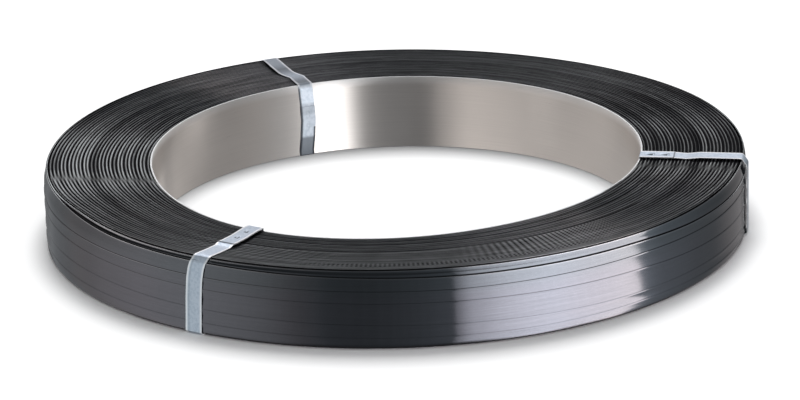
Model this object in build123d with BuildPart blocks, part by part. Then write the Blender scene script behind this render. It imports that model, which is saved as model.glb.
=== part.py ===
from build123d import *
import math
import os
from itertools import cycle

# A coil of flat steel strapping, lying on its end face. Millimetres, +Z up.
# The origin is on the coil's axis, at the floor that its tie bands rest on.

# Driving sizes of the wound coil
bore_diameter = 406.4
wound_build = 86.8
coil_height = 64.0
strap_thickness = 0.8
rim_setback = 3.4
ridge_count = 10
ridge_depth = 1.2
ridge_crest_share = 0.62
pass_widths = (5.3, 11.6, 17.8, 10.5, 13.7)
narrowest_pass = 3.0

# Sheet that lines the bore
liner_thickness = 0.5
liner_clearance = 0.1
liner_setback = 0.6
liner_lap_length = 25.0
liner_joggle_length = 4.0
liner_lap_gap = 0.15
liner_seam_angle = -35.0

# Tie bands
tie_width = 15.0
tie_thickness = 0.4
tie_clearance = 0.04
tie_corner_radius = 0.5
tie_rim_radius = 3.0
tie_bend_radius = 6.0
tie_slack_height = 1.7
run_share = 0.45
tie_lap_length = 24.0
end_lap_inset = 2.0
end_lap_margin = 2.6
bore_lap_drop = 21.0
key_length = 7.0
key_width = 3.4
tongue_length = 4.6
tongue_width = 1.6
key_spacing = 12.0

# Each tie band: its angle round the coil and the face that its lap lies on. Its slack stands off
# the end face by shares of tie_slack_height: at the rim, at bends placed by their share of the way from
# the rim to where the lap or the last bend is, and at the bore.
ties = {
    "tie_band_right": (-9.0, "end", 0.9, ((0.62, 1.0), (0.82, 0.1)), 0.8),
    "tie_band_back": (112.2, "bore", 0.4, ((0.25, 1.1), (0.72, 0.1)), 0.5),
    "tie_band_front_left": (236.8, "end", 0.1, ((0.85, 0.2),), 1.0),
}

# Sizes that follow
bore_radius = bore_diameter / 2
coil_radius = bore_radius + wound_build
rim_radius = coil_radius - rim_setback
wound_bore = bore_radius + liner_thickness + liner_clearance
coil_base = tie_thickness + tie_clearance
coil_top = coil_base + coil_height
tie_bore_face = math.sqrt(bore_radius**2 - (tie_width / 2) ** 2) - tie_clearance
tie_wall_face = coil_radius + tie_clearance
tie_rim_face = rim_radius + tie_clearance
tie_end_face = coil_top + tie_clearance
ridge_pitch = (rim_radius - wound_bore) / ridge_count
rim_height = pass_widths[0]
lap_reach = 6 * tie_thickness


def end_turns(crest, groove):
    """Radius and height of the turns' edges on one end face, from the bore outwards."""
    points = []
    for turn in range(ridge_count):
        start = wound_bore + turn * ridge_pitch
        points.append((start, groove))
        points.append((start + ridge_crest_share * ridge_pitch, crest))
    return points


def pass_edges(low, high):
    """Heights of the strap edges on the outer wall, from the lower end to the upper one."""
    edges = [low]
    for width in cycle(pass_widths):
        if edges[-1] + width > high - narrowest_pass:
            break
        edges.append(edges[-1] + width)
    return edges + [high]


def outer_passes(low, high):
    """The wall's section: each pass leans out to its free upper edge, over the pass above.

    The first and the last pass lean in to the set-back rims of the end faces.
    """
    edges = pass_edges(low, high)
    points = []
    for lower, upper in zip(edges, edges[1:]):
        points.append((rim_radius if lower == low else coil_radius - strap_thickness, lower))
        points.append((rim_radius if upper == high else coil_radius, upper))
    return points


def rim_point(radius, angle):
    """A point on a circle about the coil's axis."""
    return (radius * math.cos(angle), radius * math.sin(angle))


def tie_plane(angle):
    """The plane through the axis that a tie band's section lies in: X outwards, Y up."""
    turn = math.radians(angle)
    return Plane(
        origin=(0, 0, 0),
        x_dir=(math.cos(turn), math.sin(turn), 0),
        z_dir=(math.sin(turn), -math.cos(turn), 0),
    )


def bend_radius(before, corner, after, wished):
    """The wished bend radius, or less where the runs on either side are too short for it."""
    arriving = Vector(*corner) - Vector(*before)
    leaving = Vector(*after) - Vector(*corner)
    turn = math.radians(arriving.get_angle(leaving))
    longest = run_share * min(arriving.length, leaving.length) / math.tan(turn / 2)
    return min(wished, longest)


def tie_path(lap_on, rim_lift, bends, bore_lift):
    """Corners of a tie band's inner face, round the wound section, and their bend radii."""
    corners = [
        (tie_bore_face, tie_thickness),
        (tie_rim_face, tie_thickness),
        (tie_wall_face, tie_thickness + rim_height),
        (tie_wall_face, tie_end_face - rim_height),
        (tie_rim_face, tie_end_face + rim_lift * tie_slack_height),
    ]
    wished = [tie_corner_radius] + [tie_rim_radius] * 4
    level = end_lap_inset + tie_lap_length + end_lap_margin if lap_on == "end" else 0
    last = tie_bore_face + level
    for share, lift in bends:
        radius = tie_rim_face + share * (last - tie_rim_face)
        corners.append((radius, tie_end_face + lift * tie_slack_height))
        wished.append(tie_bend_radius)
    if level:
        corners.append((last, tie_end_face + bore_lift * tie_slack_height))
        wished.append(tie_bend_radius)
    corners.append((tie_bore_face, tie_end_face + bore_lift * tie_slack_height))
    wished.append(tie_corner_radius)
    around = zip(corners[-1:] + corners[:-1], corners, corners[1:] + corners[:1], wished)
    return corners, [bend_radius(*bend) for bend in around]


def lap_centre(lap_on, bore_lift):
    """The middle of the lap, on the band's inner face, in its section."""
    if lap_on == "bore":
        return (tie_bore_face, tie_end_face - bore_lap_drop - tie_lap_length / 2)
    along = end_lap_inset + tie_lap_length / 2
    return (tie_bore_face + along, tie_end_face + bore_lift * tie_slack_height)


def key_plane(plane, lap_on, centre):
    """The plane on the lap's outer face that its keys are punched from, X along the band."""
    if lap_on == "bore":
        face = Vector(centre[0] - 2 * tie_thickness, centre[1], 0)
        return Plane(origin=plane.from_local_coords(face), x_dir=(0, 0, 1), z_dir=-plane.x_dir)
    face = Vector(centre[0], centre[1] + 2 * tie_thickness, 0)
    return Plane(origin=plane.from_local_coords(face), x_dir=plane.x_dir, z_dir=(0, 0, 1))


# Wound strap: one turned solid, with its turns on both ends and its passes on the wall
with BuildPart() as strap_coil:
    with BuildSketch(Plane.XZ):
        with BuildLine():
            lower_end = end_turns(coil_base, coil_base + ridge_depth)
            upper_end = end_turns(coil_top, coil_top - ridge_depth)
            wall = outer_passes(coil_base + ridge_depth, coil_top - ridge_depth)
            Polyline(*lower_end, *wall, *reversed(upper_end), close=True)
        make_face()
    revolve(axis=Axis.Z)
strap_coil.part.label = "strap_coil"

# Liner: one sheet rolled into the bore, with its inner end joggled in over its outer end
with BuildPart() as inner_liner:
    seam = math.radians(liner_seam_angle)
    joggle = seam + 2 * math.pi - liner_joggle_length / bore_radius
    lap_start = seam + 2 * math.pi
    lap_end = lap_start + liner_lap_length / bore_radius
    outside = bore_radius + liner_thickness
    lap_outside = bore_radius - liner_lap_gap
    lap_inside = lap_outside - liner_thickness
    with BuildSketch(Plane.XY.offset(coil_base + liner_setback)):
        with BuildLine():
            half_way = (seam + joggle) / 2
            lap_middle = (lap_start + lap_end) / 2
            ThreePointArc(
                rim_point(outside, seam), rim_point(outside, half_way), rim_point(outside, joggle)
            )
            Line(rim_point(outside, joggle), rim_point(lap_outside, lap_start))
            ThreePointArc(
                rim_point(lap_outside, lap_start),
                rim_point(lap_outside, lap_middle),
                rim_point(lap_outside, lap_end),
            )
            Line(rim_point(lap_outside, lap_end), rim_point(lap_inside, lap_end))
            ThreePointArc(
                rim_point(lap_inside, lap_end),
                rim_point(lap_inside, lap_middle),
                rim_point(lap_inside, lap_start),
            )
            Line(rim_point(lap_inside, lap_start), rim_point(bore_radius, joggle))
            ThreePointArc(
                rim_point(bore_radius, joggle),
                rim_point(bore_radius, half_way),
                rim_point(bore_radius, seam),
            )
            Line(rim_point(bore_radius, seam), rim_point(outside, seam))
        make_face()
    extrude(amount=coil_height - 2 * liner_setback)
inner_liner.part.label = "inner_liner"

os.makedirs("parts", exist_ok=True)
export_step(strap_coil.part, "parts/strap_coil.step")
export_step(inner_liner.part, "parts/inner_liner.step")

# Tie bands: a closed loop round the wound section, two layers thick where its ends are joined
for name, (angle, lap_on, rim_lift, bends, bore_lift) in ties.items():
    plane = tie_plane(angle)
    path, radii = tie_path(lap_on, rim_lift, bends, bore_lift)
    centre = lap_centre(lap_on, bore_lift)
    with BuildPart() as tie_band:
        with BuildSketch(plane) as inside:
            with BuildLine():
                FilletPolyline(*path, radius=radii, close=True)
            make_face()
        with BuildSketch(plane) as lap:
            add(inside.sketch_local)
            offset(amount=2 * tie_thickness, kind=Kind.ARC)
            with Locations(centre):
                if lap_on == "bore":
                    Rectangle(lap_reach, tie_lap_length, mode=Mode.INTERSECT)
                else:
                    Rectangle(tie_lap_length, lap_reach, mode=Mode.INTERSECT)
        with BuildSketch(plane) as loop:
            add(inside.sketch_local)
            offset(amount=tie_thickness, kind=Kind.ARC)
            add(lap.sketch_local)
            add(inside.sketch_local, mode=Mode.SUBTRACT)
        extrude(loop.sketch, amount=tie_width / 2, both=True)
        with BuildSketch(key_plane(plane, lap_on, centre)) as keys:
            with GridLocations(key_spacing, 0, 2, 1):
                Rectangle(key_length, key_width)
                Rectangle(tongue_length, tongue_width, mode=Mode.SUBTRACT)
        extrude(keys.sketch, amount=-tie_thickness, mode=Mode.SUBTRACT)
    tie_band.part.label = name
    export_step(tie_band.part, f"parts/{name}.step")
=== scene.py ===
"""Steel strapping coil: blued strap wound round a bright sheet liner and held by three lapped ties."""

import logging
import math
from dataclasses import dataclass
from enum import Enum
from typing import Any, Sequence, Union

import bpy
import numpy as np
from mathutils import Matrix, Vector


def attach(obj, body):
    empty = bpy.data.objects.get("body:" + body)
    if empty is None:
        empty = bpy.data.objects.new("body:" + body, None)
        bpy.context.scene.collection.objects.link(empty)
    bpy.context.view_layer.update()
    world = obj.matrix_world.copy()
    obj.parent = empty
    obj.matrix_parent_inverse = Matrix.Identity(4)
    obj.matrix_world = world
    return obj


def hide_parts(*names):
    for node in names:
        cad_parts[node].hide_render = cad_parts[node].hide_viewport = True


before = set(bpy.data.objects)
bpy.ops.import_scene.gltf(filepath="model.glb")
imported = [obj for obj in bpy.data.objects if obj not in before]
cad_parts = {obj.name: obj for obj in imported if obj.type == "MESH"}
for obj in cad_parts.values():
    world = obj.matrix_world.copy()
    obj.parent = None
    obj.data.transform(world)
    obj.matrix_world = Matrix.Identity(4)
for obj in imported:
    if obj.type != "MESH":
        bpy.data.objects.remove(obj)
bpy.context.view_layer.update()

LOG = logging.getLogger("strapping_coil")
MM = 0.001
FULL_TURN = 360.0
WELD = 0.002 * MM
BORE_RADIUS = 203.8
RIM_RADIUS = 286.0
SAG_POWER = 1.4
PAINTED_SHADE_BLACK = (0.006, 0.006, 0.007, 1.0)
Pair = tuple[float, float]
Window = tuple[float, float, float, float]
Colour = tuple[float, float, float]
Span = tuple[float, float, float, Colour]
Ring = Union[float, np.ndarray]


def around(degrees: np.ndarray, stations: Sequence[Pair], soften: float = 2.0) -> np.ndarray:
    """A size that changes on the way round the coil, read between stations and softened.

    Args:
        degrees: Evenly spaced angles round the axis, in degrees.
        stations: Pairs of angle and value.
        soften: How far a corner at a station is rounded, in degrees.

    Returns:
        The value at each angle.
    """
    angles, values = zip(*sorted(stations))
    rough = np.interp(degrees, angles, values, period=FULL_TURN)
    apart = np.minimum(degrees, FULL_TURN - degrees)
    weights = np.exp(-0.5 * (apart / soften) ** 2)
    return np.real(np.fft.ifft(np.fft.fft(rough) * np.fft.fft(weights / weights.sum())))


def smooth_step(values: np.ndarray, start: float, end: float) -> np.ndarray:
    """0 up to start, 1 from end on, and an even bend between them."""
    share = np.clip((values - start) / (end - start), 0.0, 1.0)
    return share * share * (3.0 - 2.0 * share)


def hump(values: np.ndarray, rise: float, full: float, fade: float, end: float) -> np.ndarray:
    """1 from full to fade, 0 outside rise and end, and an even bend on each side."""
    return smooth_step(values, rise, full) * (1.0 - smooth_step(values, fade, end))


SAG_STATIONS = (
    (150, 0.0), (185, 1.5), (205, 4.2), (228, 6.2), (250, 5.6), (270, 4.4), (290, 2.4), (315, 0.8),
    (335, 0.0),
)
DRIFT_STATIONS = ((110, 0.0), (150, 1.6), (190, 2.8), (215, 1.8), (240, 0.0))
ROUND = np.arange(0.0, FULL_TURN, 1.0)
SAG = around(ROUND, SAG_STATIONS, 5.0)
DRIFT = around(ROUND, DRIFT_STATIONS, 5.0)


def bore_sag(degrees: np.ndarray) -> np.ndarray:
    """How far the slack inner turns and the liner have sunk round the bore, in millimetres."""
    return np.interp(degrees, ROUND, SAG, period=FULL_TURN)


def bore_drift(degrees: np.ndarray) -> np.ndarray:
    """How far the bore is pressed in towards the axis, in millimetres: a little on its left side."""
    return np.interp(degrees, ROUND, DRIFT, period=FULL_TURN)


def end_face_drop(degrees: np.ndarray, share: Ring) -> np.ndarray:
    """How far the end face has sunk, in millimetres, at a share of the way from the bore to the rim."""
    return bore_sag(degrees) * (1.0 - share) ** SAG_POWER


class Bench:
    """The modelling bench: one shape at a time is started, shaped in edit mode and finished on it."""

    @staticmethod
    def clear() -> None:
        """Leaves edit mode and selects nothing."""
        if bpy.context.object and bpy.context.object.mode != "OBJECT":
            bpy.ops.object.mode_set(mode="OBJECT")
        bpy.ops.object.select_all(action="DESELECT")

    @classmethod
    def start_point(cls, name: str, place: Vector) -> bpy.types.Object:
        """A new mesh that is a single selected point, left in edit mode.

        Args:
            name: The name of the piece.
            place: Where the point lies.

        Returns:
            The new object.
        """
        cls.clear()
        bpy.ops.mesh.primitive_plane_add(size=1 * MM)
        piece = bpy.context.object
        piece.name = piece.data.name = name
        bpy.ops.object.mode_set(mode="EDIT")
        bpy.ops.mesh.select_mode(type="VERT")
        bpy.ops.mesh.select_all(action="SELECT")
        bpy.ops.mesh.merge(type="CENTER")
        bpy.ops.transform.translate(value=place)
        return piece

    @classmethod
    def start_edge(cls, name: str, place: Vector, width: float, cuts: int) -> bpy.types.Object:
        """A new mesh that is one selected edge across Y, divided evenly, left in edit mode.

        Args:
            name: The name of the piece.
            place: The middle of the edge.
            width: Its length.
            cuts: How many points divide it.

        Returns:
            The new object.
        """
        piece = cls.start_point(name, place - Vector((0, width / 2, 0)))
        bpy.ops.mesh.extrude_vertices_move(TRANSFORM_OT_translate={"value": (0, width, 0)})
        bpy.ops.mesh.select_all(action="SELECT")
        bpy.ops.mesh.subdivide(number_cuts=cuts)
        return piece

    @staticmethod
    def draw_to(points: Sequence[Vector], start: Vector) -> None:
        """Draws a line of edges on from the selected point.

        Args:
            points: The points to draw through.
            start: Where the selected point is.
        """
        last = start
        for point in points:
            bpy.ops.mesh.extrude_vertices_move(TRANSFORM_OT_translate={"value": point - last})
            last = point

    @staticmethod
    def turn_round(steps: int) -> None:
        """Spins all that is drawn once round the coil's axis and merges the end with the start."""
        bpy.ops.mesh.select_all(action="SELECT")
        bpy.ops.mesh.spin(steps=steps, angle=2 * math.pi, center=(0, 0, 0), axis=(0, 0, 1))
        bpy.ops.mesh.select_all(action="SELECT")
        bpy.ops.mesh.remove_doubles(threshold=WELD)

    @staticmethod
    def set_normals() -> None:
        """Points all faces of the mesh in edit mode one way, outwards if closed, and leaves edit mode."""
        bpy.ops.mesh.select_all(action="SELECT")
        bpy.ops.mesh.normals_make_consistent(inside=False)
        bpy.ops.object.mode_set(mode="OBJECT")

    @staticmethod
    def places(piece: bpy.types.Object) -> np.ndarray:
        """Where each point of a piece's mesh is, one row per point."""
        flat = np.empty(len(piece.data.vertices) * 3)
        piece.data.vertices.foreach_get("co", flat)
        return flat.reshape(-1, 3)

    @staticmethod
    def put(piece: bpy.types.Object, places: np.ndarray) -> None:
        """Moves each point of a piece's mesh to its new place."""
        piece.data.vertices.foreach_set("co", places.ravel())
        piece.data.update()

    @staticmethod
    def note(piece: bpy.types.Object, name: str, values: np.ndarray) -> None:
        """Keeps a number on each point of a piece for its material to read."""
        layer = piece.data.attributes.new(name, "FLOAT", "POINT")
        layer.data.foreach_set("value", values.astype(np.float32))

    @classmethod
    def finish(cls, piece: bpy.types.Object, smooth_angle: float, **modifiers: dict[str, Any]) -> None:
        """Applies modifiers in order, smooths the shading and lets the object's own place go into its mesh.

        Args:
            piece: The piece to finish.
            smooth_angle: Faces that meet at less than this, in degrees, are shaded as one.
            modifiers: Modifier types in lower case, each with its settings.
        """
        cls.clear()
        bpy.context.view_layer.objects.active = piece
        piece.select_set(True)
        for kind, settings in modifiers.items():
            modifier = piece.modifiers.new(kind, kind.upper())
            for setting, value in settings.items():
                setattr(modifier, setting, value)
            bpy.ops.object.modifier_apply(modifier=modifier.name)
        bpy.ops.object.transform_apply(location=True, rotation=True, scale=True)
        bpy.ops.object.shade_smooth_by_angle(angle=math.radians(smooth_angle))
        piece.select_set(False)


Value = Union["Channel", float, int, Sequence[float]]


@dataclass(frozen=True)
class Channel:
    """One value on its way through a material, so that shader maths reads as plain sums."""

    desk: "FinishDesk"
    socket: bpy.types.NodeSocket

    def maths(self, operation: str, *values: Value) -> "Channel":
        """One Math node on these values."""
        return self.desk.node("ShaderNodeMath", {"operation": operation}, dict(enumerate(values)))

    def __add__(self, other: Value) -> "Channel":
        return self.maths("ADD", self, other)

    __radd__ = __add__

    def __mul__(self, other: Value) -> "Channel":
        return self.maths("MULTIPLY", self, other)

    __rmul__ = __mul__

    def __sub__(self, other: Value) -> "Channel":
        return self.maths("SUBTRACT", self, other)

    def __rsub__(self, other: Value) -> "Channel":
        return self.maths("SUBTRACT", other, self)

    def __truediv__(self, other: Value) -> "Channel":
        return self.maths("DIVIDE", self, other)

    def __pow__(self, other: Value) -> "Channel":
        return self.maths("POWER", self, other)

    def sine(self) -> "Channel":
        """The sine of the value in radians."""
        return self.maths("SINE", self)

    def between(self, low: float, high: float) -> "Channel":
        """0 below low, 1 above high, and a soft bend between them."""
        return self.desk.node(
            "ShaderNodeMapRange",
            {"interpolation_type": "SMOOTHSTEP"},
            {"Value": self, "From Min": low, "From Max": high},
        )

    def within(self, rise: float, full: float, fade: float, end: float) -> "Channel":
        """1 from full to fade, 0 outside rise and end, and a soft bend on each side."""
        return self.between(rise, full) * (1.0 - self.between(fade, end))


class FinishDesk:
    """The desk where one material is put together from nodes."""

    def __init__(self, name: str) -> None:
        """Starts an empty material.

        Args:
            name: The material's name.
        """
        self.material = bpy.data.materials.new(name)
        self.material.use_nodes = True
        self.tree = self.material.node_tree
        self.tree.nodes.clear()

    def node(
        self,
        kind: str,
        settings: dict[str, Any] | None = None,
        sockets: dict[str | int, Value] | None = None,
        output: str | int = 0,
    ) -> "Channel | None":
        """Adds any node, sets it up and joins it to what feeds it.

        Args:
            kind: The node's type.
            settings: Its own settings, which are set first.
            sockets: Values or channels for its input sockets.
            output: The output socket to carry on with.

        Returns:
            The channel that leaves the node, or nothing from the node that ends the material.
        """
        made = self.tree.nodes.new(kind)
        for setting, value in (settings or {}).items():
            setattr(made, setting, value)
        for place, value in (sockets or {}).items():
            if isinstance(value, Channel):
                self.tree.links.new(value.socket, made.inputs[place])
            else:
                made.inputs[place].default_value = value
        return Channel(self, made.outputs[output]) if made.outputs else None

    def object_place(self) -> Channel:
        """The place on the object, in metres."""
        return self.node("ShaderNodeTexCoord", output="Object")

    def parts(self, vector: Channel) -> tuple[Channel, Channel, Channel]:
        """The three numbers of a vector."""
        split = self.node("ShaderNodeSeparateXYZ", sockets={0: vector}).socket.node
        return tuple(Channel(self, split.outputs[i]) for i in range(3))

    def joined(self, x: Value, y: Value, z: Value) -> Channel:
        """A vector of three numbers."""
        return self.node("ShaderNodeCombineXYZ", sockets={0: x, 1: y, 2: z})

    def mixed(self, share: Value, first: Colour | Channel, second: Colour | Channel) -> Channel:
        """A colour between two others."""
        pick = [c if isinstance(c, Channel) else (*c, 1.0) for c in (first, second)]
        return self.node(
            "ShaderNodeMix", {"data_type": "RGBA"}, {0: share, 6: pick[0], 7: pick[1]}, output=2
        )

    def scaled(self, colour: Channel, share: Value) -> Channel:
        """A colour made darker or lighter by a number."""
        return self.node(
            "ShaderNodeVectorMath", {"operation": "SCALE"}, {0: colour, "Scale": share}
        )

    def noise(self, place: Channel, scale: float, detail: float = 2.0, roughness: float = 0.5) -> Channel:
        """A cloudy number near 0.5 that changes over the place."""
        sockets = {"Vector": place, "Scale": scale, "Detail": detail, "Roughness": roughness}
        return self.node("ShaderNodeTexNoise", {}, sockets)

    def attribute(self, name: str) -> Channel:
        """A number that the mesh keeps on its points."""
        return self.node("ShaderNodeAttribute", {"attribute_name": name}, output="Fac")

    def bump(self, height: Channel, depth: float) -> Channel:
        """A normal that follows a height, where a height of 1 stands for the depth in metres."""
        return self.node("ShaderNodeBump", {}, {"Height": height, "Distance": depth, "Strength": 1.0})

    def metal(
        self,
        colour: Channel,
        roughness: Value,
        normal: Channel,
        gap: Channel | None = None,
        **constants: float,
    ) -> bpy.types.Material:
        """Closes the material with a metallic surface.

        Args:
            colour: Its reflected colour.
            roughness: Its roughness.
            normal: Its bumped normal.
            gap: How much of the surface is painted shade in an open gap, which is black and mirrors nothing.
            constants: Other sockets of the shader, with spaces written as underscores.

        Returns:
            The finished material.
        """
        sockets = {"Base Color": colour, "Roughness": roughness, "Metallic": 1.0, "Normal": normal}
        sockets |= {name.replace("_", " "): value for name, value in constants.items()}
        surface = self.node("ShaderNodeBsdfPrincipled", {}, sockets)
        if gap is not None:
            # painted shade: a black diffuse surface stands in for the shade in gaps and grooves
            black = self.node("ShaderNodeBsdfDiffuse", {}, {"Color": PAINTED_SHADE_BLACK})
            surface = self.node("ShaderNodeMixShader", {}, {0: gap, 1: surface, 2: black})
        self.node("ShaderNodeOutputMaterial", {}, {"Surface": surface})
        return self.material


@dataclass(frozen=True)
class BluedStrapFinish:
    """Blued strap with a dark oxide skin, brighter at its slit edges, with painted shade in its grooves and
    gaps and painted highlights along its lips.

    Attributes:
        foot_heights: Where the tint of the foot is full and where it ends, in metres.
        high_heights: Where the skin turns to its tone near the rim, in metres.
        relief: The height that a bump of 1 stands for, in metres.
        turns_share: How much single turns of strap vary in tone on the end face.
        hatch_waves: How fast the ripple at the right runs round, and how much faster as it goes.
        right_hatch: The angles where the ripple at the right rises, is full, fades and ends.
        hatched_radii: The same for its distance from the axis, in metres.
    """

    skin: Colour = (0.066, 0.070, 0.079)
    high_skin: Colour = (0.0600, 0.0672, 0.0742)
    edge: Colour = (0.232, 0.237, 0.246)
    # colour of the painted highlight on the lips and the last crests at the rim
    painted_glint: Colour = (0.62, 0.63, 0.64)
    # colour of the painted shade in grooves and gaps, also mixed in where the tone is lower round the coil
    painted_shade: Colour = (0.0035, 0.0038, 0.0040)
    foot: Colour = (0.070, 0.052, 0.050)
    foot_share: float = 0.7
    foot_heights: Pair = (0.6 * MM, 3.0 * MM)
    high_heights: Pair = (36.0 * MM, 54.0 * MM)
    roughness: float = 0.13
    edge_roughness: float = 0.19
    anisotropy: float = 0.965
    relief: float = 0.03 * MM
    turns_share: float = 1.5
    streaks_share: float = 0.24
    fine_share: float = 0.20
    hatch_share: float = 0.75
    hatch_waves: Pair = (915.0, 245.0)
    far_hatch_waves: float = 250.0
    hatch_pitch: float = 56.0 * MM
    right_hatch: Window = (-82.0, -66.0, -57.0, -46.0)
    left_hatch: Window = (-136.0, -126.0, -112.0, -98.0)
    hatched_radii: Window = (0.237, 0.243, 0.266, 0.280)
    dash_waves: float = 480.0
    dash_pitch: float = 3.1 * MM
    dashes: Window = (-110.0, -96.0, -62.0, -50.0)
    dashed_radii: Window = (0.271, 0.274, 0.278, 0.281)

    def make(self) -> bpy.types.Material:
        """The finished material."""
        desk = FinishDesk("blued_strap_finish")
        x, y, z = desk.parts(desk.object_place())
        radius = (x * x + y * y) ** 0.5
        east, north = x / radius, y / radius
        turn = desk.node("ShaderNodeMath", {"operation": "ARCTAN2"}, {0: y, 1: x})
        tone, flat = desk.attribute("tone"), desk.attribute("end_face")
        across = flat * radius + (1.0 - flat) * z
        streaks = desk.noise(desk.joined(east, north, across * 160.0), 6.0, 4.0, 0.6)
        fine = desk.noise(desk.joined(east * 3.0, north * 3.0, across * 900.0), 1.6, 2.0, 0.6)
        clouds = desk.noise(desk.joined(east * 2.0, north * 2.0, across * 14.0), 2.2, 3.0, 0.6)
        turns = desk.noise(desk.joined(east * 1.5, north * 1.5, radius * 70.0), 6.0, 2.0, 0.5)
        hatch = self.hatch(radius, turn) * flat
        lively = 0.78 + self.turns_share * flat * (turns - 0.5)
        lively = lively + self.streaks_share * streaks + self.fine_share * fine + self.hatch_share * hatch
        foot = (1.0 - z.between(*self.foot_heights)) * (1.0 - flat) * self.foot_share
        base = desk.mixed(z.between(*self.high_heights), self.skin, self.high_skin)
        base = desk.mixed(flat, base, self.edge)
        base = desk.mixed(foot, base, self.foot)
        # painted highlight: bright lines painted along the lips and the last crests at the rim
        base = desk.mixed(desk.attribute("painted_glint"), base, self.painted_glint)
        # painted shade: the lower the tone, the more the colour turns to the painted shade
        base = desk.mixed(1.0 - tone.between(0.0, 1.0), base, self.painted_shade)
        colour = desk.scaled(base, lively)
        rough = self.roughness + 0.04 * streaks + self.edge_roughness * flat - 0.03 * clouds
        normal = desk.bump(fine * 0.10 + streaks * 0.18 + hatch * 1.8, self.relief)
        # painted shade: the darkest tones become black that mirrors nothing
        gap = 1.0 - tone.between(-0.05, 0.85)
        return desk.metal(colour, rough, normal, gap, Anisotropic=self.anisotropy, Anisotropic_Rotation=0.25)

    def hatch(self, radius: Channel, turn: Channel) -> Channel:
        """The slanting ripple that crosses the strap edges at the front of the end face.

        Args:
            radius: The distance from the axis, in metres.
            turn: The angle round the axis, in radians.

        Returns:
            The ripple's height, which goes from below 0 to above it, and 0 where there is none.
        """
        degrees = turn * (180.0 / math.pi)
        lean = radius * (2 * math.pi / self.hatch_pitch)
        first, growth = self.hatch_waves
        stripes = (turn * first + turn * turn * growth + lean).sine() * degrees.within(*self.right_hatch)
        far_stripes = (turn * self.far_hatch_waves + lean * 4.0).sine() * degrees.within(*self.left_hatch)
        dashes = (turn * self.dash_waves).sine() * (radius * (2 * math.pi / self.dash_pitch)).sine()
        dashes = dashes * radius.within(*self.dashed_radii) * degrees.within(*self.dashes)
        return (stripes * 1.2 + far_stripes * 0.6) * radius.within(*self.hatched_radii) + dashes * 1.2


@dataclass(frozen=True)
class LinerFinish:
    """Bright sheet with a fine brushed grain that runs round the bore, and a painted highlight along its rim.
    """

    sheet: Colour = (0.72, 0.69, 0.665)
    # colour of the painted highlight along the rim
    lip: Colour = (0.95, 0.95, 0.95)
    cloud_share: float = 0.93
    roughness: float = 0.25
    anisotropy: float = 0.85

    def make(self) -> bpy.types.Material:
        """The finished material."""
        desk = FinishDesk("brushed_liner_finish")
        x, y, z = desk.parts(desk.object_place())
        grain = desk.noise(desk.joined(x * 18.0, y * 18.0, z * 2600.0), 1.0, 3.0, 0.65)
        cloud = desk.noise(desk.joined(x * 5.0, y * 5.0, z * 9.0), 1.4, 2.0, 0.5)
        rim = desk.attribute("rim")
        clouded = tuple(c * self.cloud_share for c in self.sheet)
        base = desk.mixed(cloud.between(0.35, 0.65), self.sheet, clouded)
        # painted highlight: the rim is mixed towards near white
        base = desk.mixed(rim, base, self.lip)
        colour = desk.scaled(base, 0.90 + 0.2 * grain)
        rough = self.roughness + 0.10 * grain + 0.3 * rim
        normal = desk.bump(grain, 0.012 * MM)
        return desk.metal(colour, rough, normal, Anisotropic=self.anisotropy, Anisotropic_Rotation=0.25)


@dataclass(frozen=True)
class TieFinish:
    """Galvanised tie: pale zinc with a faint spangle, painted highlights along its rolled edges and painted
    shade and shadows on its darker parts.
    """

    zinc: Colour = (0.68, 0.74, 0.82)
    # colour of the painted highlight along the rolled edges
    edge: Colour = (0.98, 0.98, 0.99)
    worn: Colour = (0.46, 0.53, 0.61)
    # colour of the painted shade on the tie's darker parts
    painted_tie_shade: Colour = (0.135, 0.15, 0.17)
    # colour of the painted shadow in the punched keys and along stepped edges
    painted_shadow: Colour = (0.02, 0.022, 0.028)

    def make(self) -> bpy.types.Material:
        """The finished material."""
        desk = FinishDesk("galvanised_tie_finish")
        place = desk.object_place()
        rim, lapped = desk.attribute("rolled_edge_glint"), desk.attribute("lapped")
        painted_tie_shade, painted_shadow = desk.attribute("painted_tie_shade"), desk.attribute("painted_shadow")
        spangle = desk.noise(place, 420.0, 2.0, 0.55)
        crumple = desk.noise(place, 160.0, 2.0, 0.5)
        base = desk.mixed(spangle.between(0.38, 0.66) * 0.6, self.zinc, self.worn)
        # painted shade where the tie turns away from the light
        base = desk.mixed(painted_tie_shade, base, self.painted_tie_shade)
        # painted highlight along the rolled edges
        base = desk.mixed(rim, base, self.edge)
        # painted shadow in the keys and along the lap's edge
        base = desk.mixed(painted_shadow, base, self.painted_shadow)
        colour = desk.scaled(base, 0.88 + 0.24 * spangle)
        rough = 0.34 + 0.16 * spangle
        normal = desk.bump(spangle * (0.3 + 0.8 * lapped) + crumple * 1.2, 0.09 * MM)
        return desk.metal(colour, rough, normal, Anisotropic=0.2)


@dataclass(frozen=True)
class FloorFinish:
    """Plain pale floor."""

    paper: Colour = (0.93, 0.93, 0.93)

    def make(self) -> bpy.types.Material:
        """The finished material."""
        desk = FinishDesk("studio_floor_finish")
        surface = desk.node("ShaderNodeBsdfDiffuse", {}, {"Color": (*self.paper, 1.0)})
        desk.node("ShaderNodeOutputMaterial", {}, {"Surface": surface})
        return desk.material


@dataclass(frozen=True)
class WallPass:
    """One pass of strap that shows on the wall, from its upper edge down to the next one.

    Attributes:
        edge: The height of its upper edge round the coil.
        darkness: How dark the painted shade in the gap over its edge is.
        step: How far its edge stands out, in thicknesses of the strap.
        painted_glint: How much of the coil's painted highlight its edge takes.
        gap_height: How far the gap reaches up over the edge.
        hollow: How much of the hollow under the rim it shares.
        lip_tone: The tone of the edge where it comes out of the gap.
        bare: How much its edge looks like the strap edges of the end face.
    """

    edge: tuple[Pair, ...]
    darkness: float
    step: float = 0.3
    painted_glint: float = 0.0
    gap_height: float = 0.85
    hollow: float = 0.0
    lip_tone: float = 0.45
    bare: float = 0.0


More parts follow.
